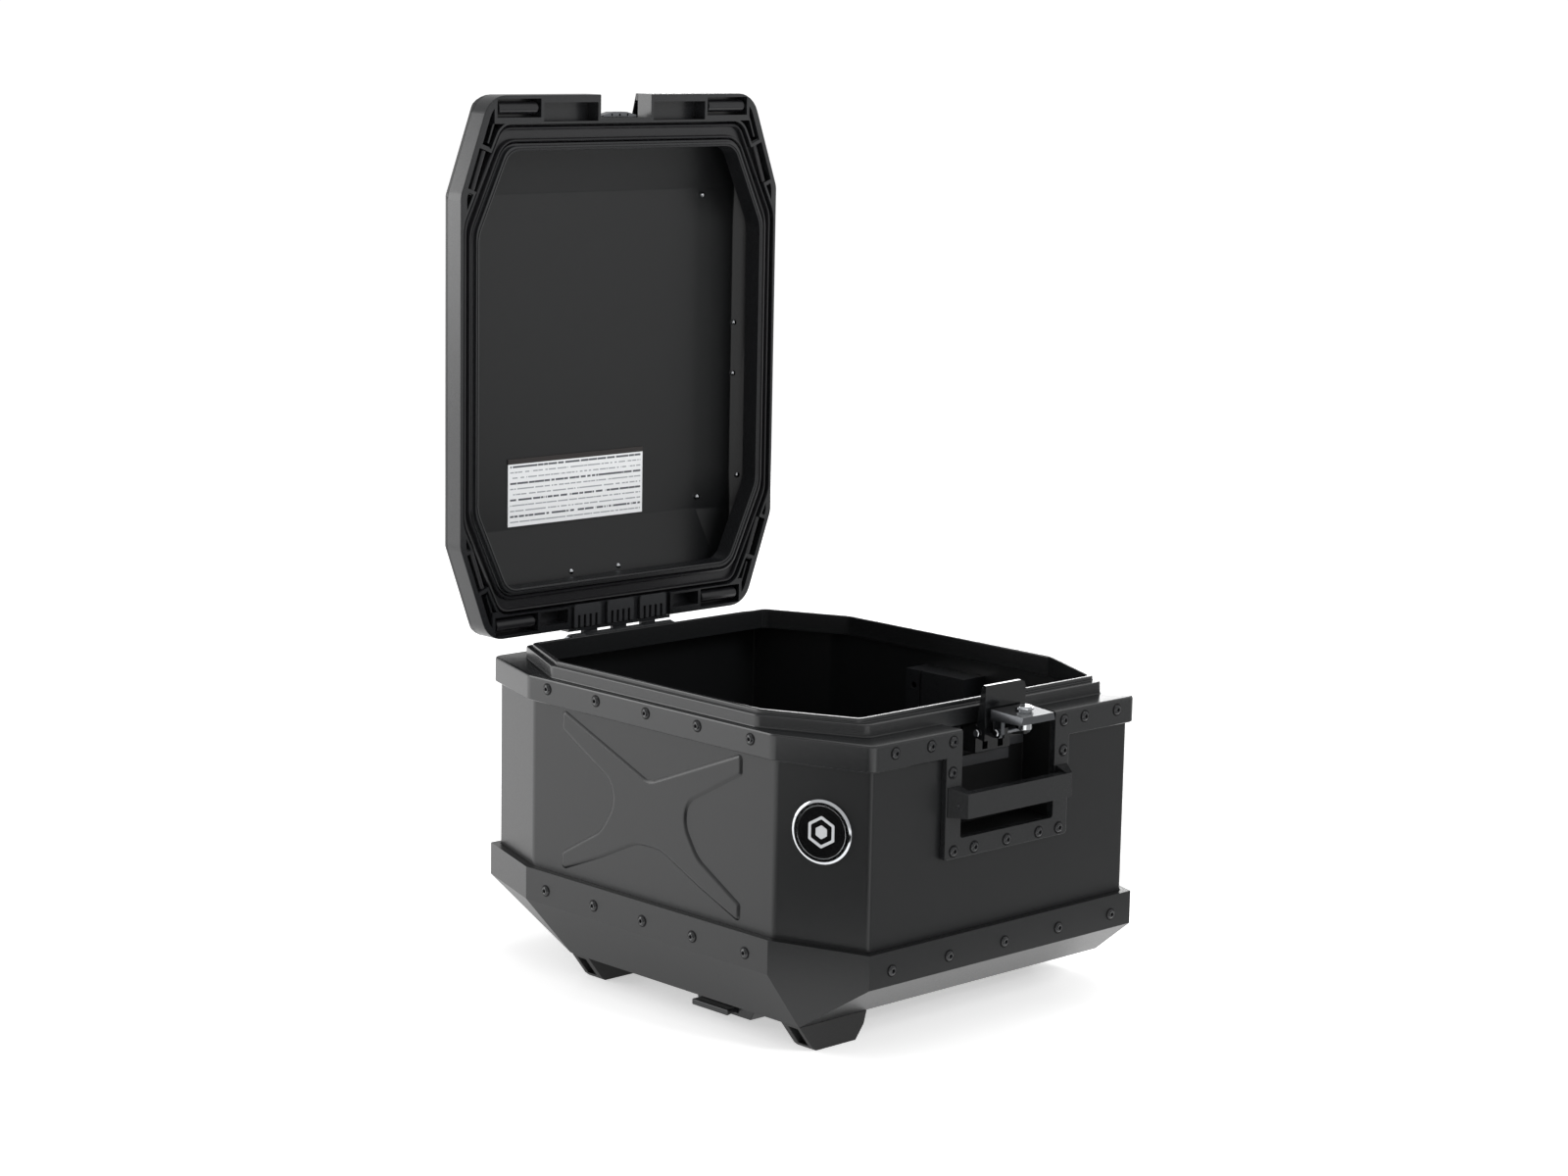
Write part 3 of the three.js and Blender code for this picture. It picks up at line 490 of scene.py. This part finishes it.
def rim_collar():
    """The moulding round the mouth, lofted through its section, with the handle frame."""
    case = CASE_OUTLINE
    section = [
        (inset(case, 0.7), BAND_LOW), (case, BAND_LOW + 0.7), (case, SHELF_Z - 2.2),
        (inset(case, 0.65), SHELF_Z - 0.65), (inset(case, 2.2), SHELF_Z),
        (inset(LIP_LOWER, -1.4), SHELF_Z), (inset(LIP_LOWER, -0.3), SHELF_Z + 0.5),
        (LIP_LOWER, SHELF_Z + 1.6), (LIP_LOWER, STEP_Z - 1.2),
        (inset(LIP_LOWER, 0.35), STEP_Z - 0.35), (inset(LIP_LOWER, 1.2), STEP_Z),
        (inset(LIP_UPPER, -0.5), STEP_Z), (LIP_UPPER, STEP_Z + 0.5), (LIP_UPPER, LIP_TOP - 1),
        (inset(LIP_UPPER, 0.3), LIP_TOP - 0.3), (inset(LIP_UPPER, 1), LIP_TOP),
        (inset(MOUTH, -1), LIP_TOP), (inset(MOUTH, -0.3), LIP_TOP - 0.3), (MOUTH, LIP_TOP - 1),
        (MOUTH, SHELF_Z - SHELF_T), (inset(case, COLLAR_WALL), SHELF_Z - SHELF_T),
        (inset(case, COLLAR_WALL), BAND_LOW),
    ]
    surround = rounded(rectangle(-FRAME_HALF, FRAME_HALF, FRAME_LOW, SHELF_Z - 1.5), [3, 3, 1, 1], 4)
    face = loft([(inset(surround, 1), HALF_Y), (inset(surround, 0.3), HALF_Y - 0.3), (surround, HALF_Y - 1),
                 (surround, HALF_Y - WALL_INSET + 0.3)])
    face = placed(face, Matrix.Rotation(math.pi / 2, 4, "X"))
    recess = rounded(rectangle(-RECESS_HALF, RECESS_HALF, RECESS_FLOOR, SHELF_Z + 4), 2.5, 4)
    opening = placed(prism(recess, RECESS_REACH, HALF_Y + 2), Matrix.Rotation(math.pi / 2, 4, "X"))
    behind = block((-RECESS_HALF - 3, RECESS_HALF + 3), (WALL_FRONT - 0.3, -RECESS_REACH),
                   (RECESS_FLOOR, SHELF_Z - SHELF_T - 0.1))
    bm = combined(loft(section, closed=True), ("UNION", face), ("DIFFERENCE", opening),
                  ("DIFFERENCE", behind))
    return piece("collar_moulding", bm, "case", COLLAR_PLASTIC, ["rim_collar"])


# ---- rivets: domed blind rivets with a hole where the mandrel broke off ----
RIVET_PROFILE = [(0, 0.5), (1.3, 0.5), (1.55, 1.8), (2.3, 2.0), (3.3, 1.6), (4.0, 0.9), (4.2, 0.3),
                 (4.2, -0.3), (0, -0.3)]
# Near-black disc under each rivet: painted shade, a dark ring round the head and a dark plug in the mandrel hole,
# where real shade falls.
RIVET_SHADE_DISC = [(0, 0.62), (1.2, 0.62), (1.2, 0.14), (5.2, 0.14), (5.2, -0.25), (0, -0.25)]
FACE_LEFT = Matrix.Rotation(-math.pi / 2, 4, "Y")
FACE_RIGHT = Matrix.Rotation(math.pi / 2, 4, "Y")
FACE_FRONT = Matrix.Rotation(math.pi / 2, 4, "X")
FACE_BACK = Matrix.Rotation(-math.pi / 2, 4, "X")


def rivet_row(name, places, body="case"):
    """Rivets, each on a near-black disc of painted shade that darkens a ring round the head and the hole in its
    middle; each point with the turn that faces it outwards.
    """
    for kind, profile, finish, part_slot in (("", RIVET_PROFILE, RIVET_PAINT, "zinc_steel"),
                                             ("_shade_discs", RIVET_SHADE_DISC, PAINTED_SHADE_BLACK, "seal_rubber")):
        solids = [placed(turned(profile, 20), Matrix.Translation(at) @ turn) for at, turn in places]
        piece(name + kind, together(solids), body, finish)


def rivets():
    """Rows along the collar, the tray and the frame of the handle."""
    collar_z, tray_z = SHELF_Z - 8.6, TRAY_HIGH.z - 15.9
    tray_x, tray_y = -TRAY_LOW.x, -TRAY_LOW.y
    long_side, short_side = (-124, -62, 0, 62, 124), (-130, -90, 90, 130)
    tray_long, tray_short = (-123, -61, 0, 61, 123), (-129.5, -64.7, 0, 64.7, 129.5)
    rivet_row("collar_rivets", [
        *[((-HALF_X, y, collar_z), FACE_LEFT) for y in long_side],
        *[((HALF_X, y, collar_z), FACE_RIGHT) for y in long_side],
        *[((x, -HALF_Y, collar_z), FACE_FRONT) for x in short_side],
        *[((x, HALF_Y, collar_z), FACE_BACK) for x in short_side]])
    rivet_row("tray_rivets", [
        *[((-tray_x, y, tray_z), FACE_LEFT) for y in tray_long],
        *[((tray_x, y, tray_z), FACE_RIGHT) for y in tray_long],
        *[((x, -tray_y, tray_z), FACE_FRONT) for x in tray_short],
        *[((x, tray_y, tray_z), FACE_BACK) for x in tray_short]])
    column = [(s * 65, -HALF_Y, z) for s in (-1, 1) for z in (collar_z, collar_z - 24.8)]
    bottom = [(x, -HALF_Y, FRAME_LOW + 6.6) for x in (-62, -38, 0, 38, 62)]
    rivet_row("handle_frame_rivets", [(at, FACE_FRONT) for at in column + bottom])


# ---- lid: moulded border with a seal groove, hollow channels and strap-bar blocks ----
LID_RADII = [24, 24, 20, 20, 24, 24, 20, 20]
LID_FACET_X, LID_FACET_Y = 31, 84
LID_OUTLINE = rounded(octagon(LID_HIGH.x, LID_HALF_Y, LID_FACET_X, LID_FACET_Y, LID_MID), LID_RADII)
SEAL_RADII = [16, 16, 30, 30, 16, 16, 30, 30]
GROOVE_OUTER = rounded(octagon(179.3, 211, 41, 83, CASE_MID), SEAL_RADII)
GROOVE_INNER = rounded(octagon(166.5, 193, 34, 72, CASE_MID), SEAL_RADII)
OPENING = rounded(octagon(162.5, 189, 33, 71, CASE_MID), SEAL_RADII)
GROOVE_ROOF = 14.6
CHANNEL_ROOF = 14
POCKET_DEPTH = 13
STRAP_X, STRAP_W = 120, 48
STRAP_ROWS = [(LID_FRONT + 3, LID_FRONT + 19), (-29, -12.5)]
FACET_TURN = math.atan2(LID_FACET_X, LID_FACET_Y)
FACET_POCKET = {"x": 162.5, "y": 171, "width": 14, "length": 36}


def on_facet(sx, sy):
    """Place and turn of the strap pocket at that corner of the lid."""
    turn = Matrix.Rotation(sx * sy * FACET_TURN, 4, "Z")
    return Matrix.Translation((sx * FACET_POCKET["x"], LID_MID + sy * FACET_POCKET["y"], 0)) @ turn


def lid_frame():
    """The border with its seal groove, its hollow channel, strap pockets and latch notch."""
    border = loft([
        (inset(LID_OUTLINE, 1), LID_FACE), (inset(LID_OUTLINE, 0.3), LID_FACE + 0.3),
        (LID_OUTLINE, LID_FACE + 1),
        (LID_OUTLINE, LID_FRAME_H), (OPENING, LID_FRAME_H), (OPENING, LID_FACE + 1.2),
        (inset(OPENING, -0.4), LID_FACE + 0.3), (inset(OPENING, -1.2), LID_FACE)], closed=True)
    ledge = inset(GROOVE_INNER, -2.3)
    groove = loft([
        (inset(GROOVE_OUTER, -0.8), LID_FACE - 1), (GROOVE_OUTER, LID_FACE + 1), (GROOVE_OUTER, GROOVE_ROOF),
        (ledge, GROOVE_ROOF), (ledge, LID_FACE + 3.4), (inset(ledge, 0.5), LID_FACE + 2.9),
        (inset(GROOVE_INNER, -0.2), LID_FACE + 2.9), (GROOVE_INNER, LID_FACE + 0.6),
        (inset(GROOVE_INNER, 0.6), LID_FACE - 1)], closed=True)
    bead = loft([(inset(OPENING, -2.6), LID_FACE - 1), (inset(OPENING, -2.2), LID_FACE + 0.9),
                 (inset(OPENING, -1.9), LID_FACE + 0.9), (inset(OPENING, -1.5), LID_FACE - 1)], closed=True)
    # What stays solid in the hollow channel: the bar blocks, the latch notch's walls and the ribs.
    kept = [block((s * STRAP_X - STRAP_W / 2 - 3, s * STRAP_X + STRAP_W / 2 + 3), (y0 - 5, y1 + 5), (-9, 19))
            for s in (-1, 1) for y0, y1 in STRAP_ROWS]
    kept += [placed(block((-9.5, 9.5), (-21, 21), (-9, 19)), on_facet(sx, sy))
             for sx in (-1, 1) for sy in (-1, 1)]
    kept.append(block((-NOTCH_HALF - 3, NOTCH_HALF + 3),
                      (LID_FRONT - 1, LID_FRONT + NOTCH_DEPTH + 5), (-9, 19)))
    kept.append(block((-62, 62), (-32, -4), (-9, 19)))
    kept += [placed(block((-14, 14), (y - 1.1, y + 1.1), (1, 19)), on_facet(sx, sy))
             for sx in (-1, 1) for sy in (-1, 1) for y in (-21, 21)]
    kept += [placed(block((1.2, 2.8), (sy * 42 - 17, sy * 42 + 17), (2, 19)), on_facet(sx, sy))
             for sx in (-1, 1) for sy in (-1, 1)]
    hollow = combined(prism(inset(LID_OUTLINE, 6.5), LID_FACE - 2, CHANNEL_ROOF),
                      ("DIFFERENCE", prism(inset(GROOVE_OUTER, -2.4), -9, 19)),
                      *[("DIFFERENCE", solid) for solid in kept])
    pockets = [("DIFFERENCE", block((s * STRAP_X - STRAP_W / 2, s * STRAP_X + STRAP_W / 2), (y0, y1),
                                    (LID_FACE - 1, POCKET_DEPTH))) for s in (-1, 1) for y0, y1 in STRAP_ROWS]
    half_w, half_l = FACET_POCKET["width"] / 2, FACET_POCKET["length"] / 2
    pockets += [("DIFFERENCE", placed(block((-half_w, half_w), (-half_l, half_l),
                                            (LID_FACE - 1, POCKET_DEPTH)), on_facet(sx, sy)))
                for sx in (-1, 1) for sy in (-1, 1)]
    notch = block((-NOTCH_HALF, NOTCH_HALF), (LID_FRONT - 5, LID_FRONT + NOTCH_DEPTH), (-10, 60))
    cover_seat = block((-59, 59), (-31, -5), (LID_FACE - 1, 3))
    bm = combined(border, ("DIFFERENCE", groove), ("DIFFERENCE", bead), ("DIFFERENCE", hollow), *pockets,
                  ("DIFFERENCE", notch), ("DIFFERENCE", cover_seat))
    return piece("lid_border", placed(bm, ON_LID), "lid", LID_PLASTIC, ["lid_frame"])


def lid_shell():
    """The folded lid cover, with a rim and rounded to the border's outline."""
    low, high = LID_FRAME_H + 0.35, LID_FRAME_H + 3.1
    rim_out, rim_in = inset(LID_OUTLINE, 0.05), inset(LID_OUTLINE, 6)
    rim = loft([(rim_out, low), (rim_out, high), (rim_in, high), (rim_in, low)], closed=True)
    notch = block((-NOTCH_HALF, NOTCH_HALF), (LID_FRONT - 5, LID_FRONT + NOTCH_DEPTH), (-10, 60))
    trim = placed(prism(LID_OUTLINE, 0, 60), ON_LID)
    bm = combined(ease(cad_copy("lid_shell"), 1.5, 3, over=10), ("UNION", placed(rim, ON_LID)),
                  ("DIFFERENCE", placed(notch, ON_LID)), ("INTERSECT", trim))
    return piece("lid_cover", bm, "lid", POWDER, ["lid_shell"])


# Fixings inside the lid: place, and the way each fixing faces, in lid coordinates.
LID_FIXINGS = [((-22, -434, 27.9), (0, 0.19, -1)), ((35, -434, 27.9), (0, 0.19, -1)),
               ((128, -385, 39.9), (-0.35, 0, -1)), ((164.5, -267, 34.6), (-0.68, 0, -0.73)),
               ((164.4, -220, 34.7), (-0.68, 0, -0.73)), ((127, -107, 40.2), (-0.35, 0, -1)),
               ((168.4, -125, 31), (-0.68, 0, -0.73)), ((-32, -54.5, 31.1), (0, -0.255, -0.967)),
               ((23.5, -54.2, 31), (0, -0.255, -0.967))]


def strap_roller(number):
    """Barrel between the ends of a strap pocket, thicker than the bar it turns on."""
    low, high = box_mm(f"strap_bar_{number}")
    middle = (low + high) / 2
    half = (high.x - low.x) / 2
    profile = [(0, half), (2.9, half), (2.9, half - 2), (5.0, half - 2.6), (5.3, half - 3.6)]
    profile += [(radius, -height) for radius, height in reversed(profile)]
    bm = placed(turned(profile, 24), Matrix.Translation((middle.x, low.y + 4.9, middle.z)) @ FACE_RIGHT)
    piece(f"strap_roller_{number}", bm, "lid", SEAL_FINISH, [f"strap_bar_{number}"])


def lid_fixings():
    """Small bright pop rivets that hold the cover to the border, seen from inside."""
    profile = [(0, 1.9), (1.1, 1.75), (2.1, 1.1), (2.6, 0.1), (2.6, -0.6), (0, -0.6)]
    heads = []
    for at, facing in LID_FIXINGS:
        turn = Vector(facing).to_track_quat("Z", "Y").to_matrix().to_4x4()
        heads.append(placed(turned(profile, 12), ON_LID @ Matrix.Translation(at) @ turn))
    piece("lid_fixings", together(heads), "lid", CHROME)


def lid_seal():
    """Seal with two rounded ribs, which the lip of the case presses flat when the lid shuts."""
    outer, inner = inset(GROOVE_OUTER, 1.4), inset(GROOVE_INNER, -2.9)
    roof = GROOVE_ROOF - 0.3
    rib = [(0, roof), (0, 3.6), (0.4, 2.3), (1.3, 1.5), (2.3, 1.7), (3.0, 2.9), (3.3, 5.5)]
    bm = loft([(inset(outer, step), height) for step, height in rib]
              + [(inset(inner, -step), height) for step, height in reversed(rib)], closed=True)
    made = piece("lid_seal", placed(bm, ON_LID), "lid", SEAL_FINISH, ["lid_gasket"])
    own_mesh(made)


def hinge_covers():
    """Plates over the hinge leaf, each with four slots that are open at its lower edge."""
    for number in range(1, 4):
        node = f"hinge_cover_{number}"
        low, high = box_mm(node)
        x, top, foot = (low.x + high.x) / 2, high.z, low.z
        face, back = low.y, high.y
        outline = rounded(rectangle(x - 15.5, x + 15.5, foot, top), [0.8, 0.8, 2.5, 2.5], 3)
        plate = placed(prism(outline, -back, -face), Matrix.Rotation(math.pi / 2, 4, "X"))
        slots = [("DIFFERENCE", block((x + d - 1.35, x + d + 1.35), (face - 1, back + 1),
                                      (foot - 1, foot + 11))) for d in (-9.9, -3.3, 3.3, 9.9)]
        piece(f"hinge_plate_{number}", ease(combined(plate, *slots), 0.4), "lid", LIGHTENED_GREY_PLASTIC,
              [node])


def striker():
    """Gabled catch plate with three holes, flat against the bottom of the notch."""
    low, high = box_mm("striker_plate")
    top = high.z + 2.2
    outline = [Vector(p) for p in ((-19, low.z), (19, low.z), (19, high.z - 0.4), (8, top), (-8, top),
                                   (-19, high.z - 0.4))]
    plate = placed(prism(rounded(outline, [1, 1, 0.8, 1.5, 1.5, 0.8], 3), -high.y, -low.y),
                   Matrix.Rotation(math.pi / 2, 4, "X"))
    holes = [("DIFFERENCE", placed(turned([(0, 5), (1.0, 5), (1.0, -5), (0, -5)], 12),
                                   Matrix.Translation((x, low.y, high.z - 0.2)) @ FACE_FRONT))
             for x in (-9, 0, 9)]
    piece("striker_catch", ease(combined(plate, *holes), 0.3), "lid", BLACK_CHROME,
          ["striker_plate"])


# ---- latch: hook plate with a rolled edge, and what shows in the recess around it ----
def latch():
    """Hook plate, heads of the two pins, and the ledge at the back of the recess."""
    low, high = box_mm("hook_lever")
    face = low.y + 12  # front of the upright plate, behind the ears that carry the flap
    rolled = side_prism([(face + 0.3, low.z + 8), (face + 9, low.z + 8), (face + 4.6, high.z - 2.2),
                         (face + 0.3, high.z - 1.2)], (low.x, low.x + 2.6))
    hook = combined(cad_copy("hook_lever"), ("UNION", rolled))
    piece("hook_plate", ease(hook, 0.7, 3), BODY_OF["hook_lever"], GLOSS_PLASTIC,
          ["hook_lever"])
    head = [(0, 0.9), (2.6, 0.9), (3.1, 0.4), (3.1, 0), (0, 0)]
    for pin in ("hook_pin", "flap_pin"):
        low, high = box_mm(pin)
        middle = (low + high) / 2
        ends = [placed(turned(head, 16), Matrix.Translation((x, middle.y, middle.z)) @ turn)
                for x, turn in ((low.x, FACE_LEFT), (high.x, FACE_RIGHT))]
        piece(pin + "_heads", together(ends), BODY_OF[pin], CHROME)
    back = POCKET_HIGH.y - 2.5
    ledge = block((-RECESS_HALF + 0.6, 35), (back - 2.6, back - 0.2), (193, 202))
    sides = [block(x, (back - 1.2, back - 0.2), (203, SHELF_Z - 8))
             for x in ((-RECESS_HALF + 0.6, -21.2), (21.2, RECESS_HALF - 0.6))]
    # The ledge takes the lighter grey: painted light, so it reads as brightly lit as the front although the recess
    # around it is in shade.
    piece("latch_ledge", ease(together([ledge, *sides]), 0.35), "case", LIGHTENED_GREY_PLASTIC)


# ---- badge: bright ring round an enamel disc with a plain hexagon emblem ----
def hexagon(radius):
    """Hexagon with a corner at the top and slightly rounded corners."""
    turns = [math.radians(60 * k + 30) for k in range(6)]
    return rounded([Vector((math.cos(turn), math.sin(turn))) * radius for turn in turns], 1.2, 3)


def badge():
    """Emblem, ring and disc on the front left facet."""
    low, high = box_mm("badge_disc")
    centre = (low + high) / 2
    outward = Vector((-FACET_Y, -FACET_X, 0)).normalized()
    facing = outward.to_track_quat("Z", "Y").to_matrix().to_4x4()
    place = Matrix.Translation(centre + outward * 0.75) @ facing
    wide, narrow, core = hexagon(13), hexagon(10.4), hexagon(5.6)
    outer = loft([(wide, -0.2), (wide, 0.5), (narrow, 0.5), (narrow, -0.2)], closed=True)
    middle = loft([(core, -0.2), (core, 0.5)])
    emblem = placed(together([outer, middle]), place)
    piece("badge_emblem", emblem, "case", PALE_ENAMEL)
    eased_node("badge_ring", 0.35, CHROME)
    eased_node("badge_disc", 0.3, DISC_ENAMEL)


# ---- camera, floor and light ----
def camera():
    """Front left view from a little above, as a three-quarter product view."""
    around, above, tilt = math.radians(-43.85), math.radians(9.85), math.radians(1.08)
    back = Vector((math.sin(around) * math.cos(above), -math.cos(around) * math.cos(above), math.sin(above)))
    right = Vector((math.cos(around), math.sin(around), 0))
    up = back.cross(right)
    x_axis = math.cos(tilt) * right + math.sin(tilt) * up
    y_axis = math.cos(tilt) * up - math.sin(tilt) * right
    data = bpy.data.cameras.new("camera")
    data.sensor_width = 36
    data.lens = 77.65
    made = bpy.data.objects.new("camera", data)
    made.matrix_world = Matrix.Translation((-1.9593, -2.0085, 0.7957)) @ Matrix(
        (x_axis, y_axis, back)).transposed().to_4x4()
    bpy.context.scene.collection.objects.link(made)
    bpy.context.scene.camera = made


def soft_light(name, place, target, size, power):
    """A rectangular area light aimed at a point."""
    data = bpy.data.lights.new(name, "AREA")
    data.shape = "RECTANGLE"
    data.size, data.size_y = size
    data.energy = power
    made = bpy.data.objects.new(name, data)
    made.location = place
    made.rotation_mode = "QUATERNION"
    made.rotation_quaternion = (Vector(target) - Vector(place)).to_track_quat("-Z", "Y")
    bpy.context.scene.collection.objects.link(made)
    return made


def studio():
    """White floor, an even surround, soft panels, and two flags that show only in reflections."""
    floor_bm = bmesh.new()
    bmesh.ops.create_grid(floor_bm, x_segments=1, y_segments=1, size=40)
    floor = mesh_object(floor_bm, "floor")
    floor.location.z = CAD_BOX[0].z
    paper = surface("matt white paper", "#f4f4f4", "#f7f7f7", 0.9, 4, 0.02)
    glow = paper.node_tree.nodes["Principled BSDF"].inputs
    glow["Emission Color"].default_value = linear("#ffffff")
    glow["Emission Strength"].default_value = 0.5
    floor.data.materials.append(paper)
    low = CAD_BOX[0].z / MM
    flags = {"left flag": (block((-2200, -420), (-900, 60), (low + 3, low + 4)), "#050505", "#060606"),
             "front flag": (block((-150, 3400), (-3600, -330), (low + 3, low + 4)), "#a2a2a2", "#a8a8a8")}
    for name, (bm, colour, cloud) in flags.items():
        bmesh.ops.scale(bm, vec=(MM,) * 3, verts=bm.verts)
        flag = mesh_object(bm, name)
        flag.data.materials.append(surface(name + " felt", colour, cloud, 0.95, 2, 0.1, specular=0.0))
        flag.visible_camera = False
        flag.visible_diffuse = False
        flag.visible_shadow = False
    world = bpy.data.worlds.new("studio")
    world.use_nodes = True
    tree = world.node_tree
    seen = add_node(tree, "ShaderNodeLightPath").outputs["Is Camera Ray"]
    level = add_node(tree, "ShaderNodeMapRange", {"Value": seen, "To Min": 0.6, "To Max": 1.05})
    background = tree.nodes["Background"]
    background.inputs["Color"].default_value = linear("#ffffff")
    tree.links.new(level.outputs["Result"], background.inputs["Strength"])
    bpy.context.scene.world = world
    soft_light("back left panel", (-2.0, 2.4, 1.0), (-0.1, 0, 0.15), (1.8, 1.6), 32)
    soft_light("top panel", (0.4, 0.3, 2.6), (0, 0, 0.2), (1.4, 1.4), 20)
    soft_light("back right panel", (2.4, 2.2, 0.75), (0, 0, 0.2), (1.0, 0.7), 12)
    fill = soft_light("front fill", (0.9, -3.2, 2.2), (0, 0, 0.3), (1.2, 1.2), 55)
    fill.visible_glossy = False


camera()
studio()
bpy.context.scene.view_settings.view_transform = "Standard"

wall_shell()
rim_collar()
rivets()
lid_frame()
lid_shell()
lid_fixings()
lid_seal()
hinge_covers()
striker()
latch()
badge()

eased_node("bottom_tray", 1.6, POWDER, 3, over=12)
# The recess pocket in near black: its black plastic darkened as painted shade deep in the recess.
eased_node("recess_pocket", 0.6, PAINTED_SHADE_BLACK)
eased_node("handle_bar", 1.6, COLLAR_PLASTIC, 3)
eased_node("rack_guide", 1.0, LID_PLASTIC)
eased_node("release_slide", 0.8, LID_PLASTIC)
eased_node("side_cover", 1.4, LID_PLASTIC, 3)
eased_node("latch_base", 0.5, GLOSS_PLASTIC)
eased_node("lock_flap", 1.2, BLACK_CHROME, 3)
eased_node("key_cylinder", 0.3, CHROME)
for end in ("front", "rear"):
    for side in ("left", "right"):
        eased_node(f"foot_{end}_{side}", 1.4, RUBBER, 3)
        eased_node(f"foot_bolt_{end}_{side}", 0.3, STEEL)
for side in ("left", "right"):
    eased_node(f"handle_bolt_{side}", 0.3, STEEL)
for number in range(1, 5):
    strap_roller(number)
    eased_node(f"corner_bar_{number}", 0.3, SEAL_FINISH)
for node in ("hinge_base", "hinge_leaf"):
    eased_node(node, 0.4, BLACK_STEEL)
for node in ("hinge_pin", "hook_pin", "flap_pin"):
    eased_node(node, 0.3, STEEL)

label = frame["nodes"]["label"]
label.data.materials.clear()
label.data.materials.append(printed_film())
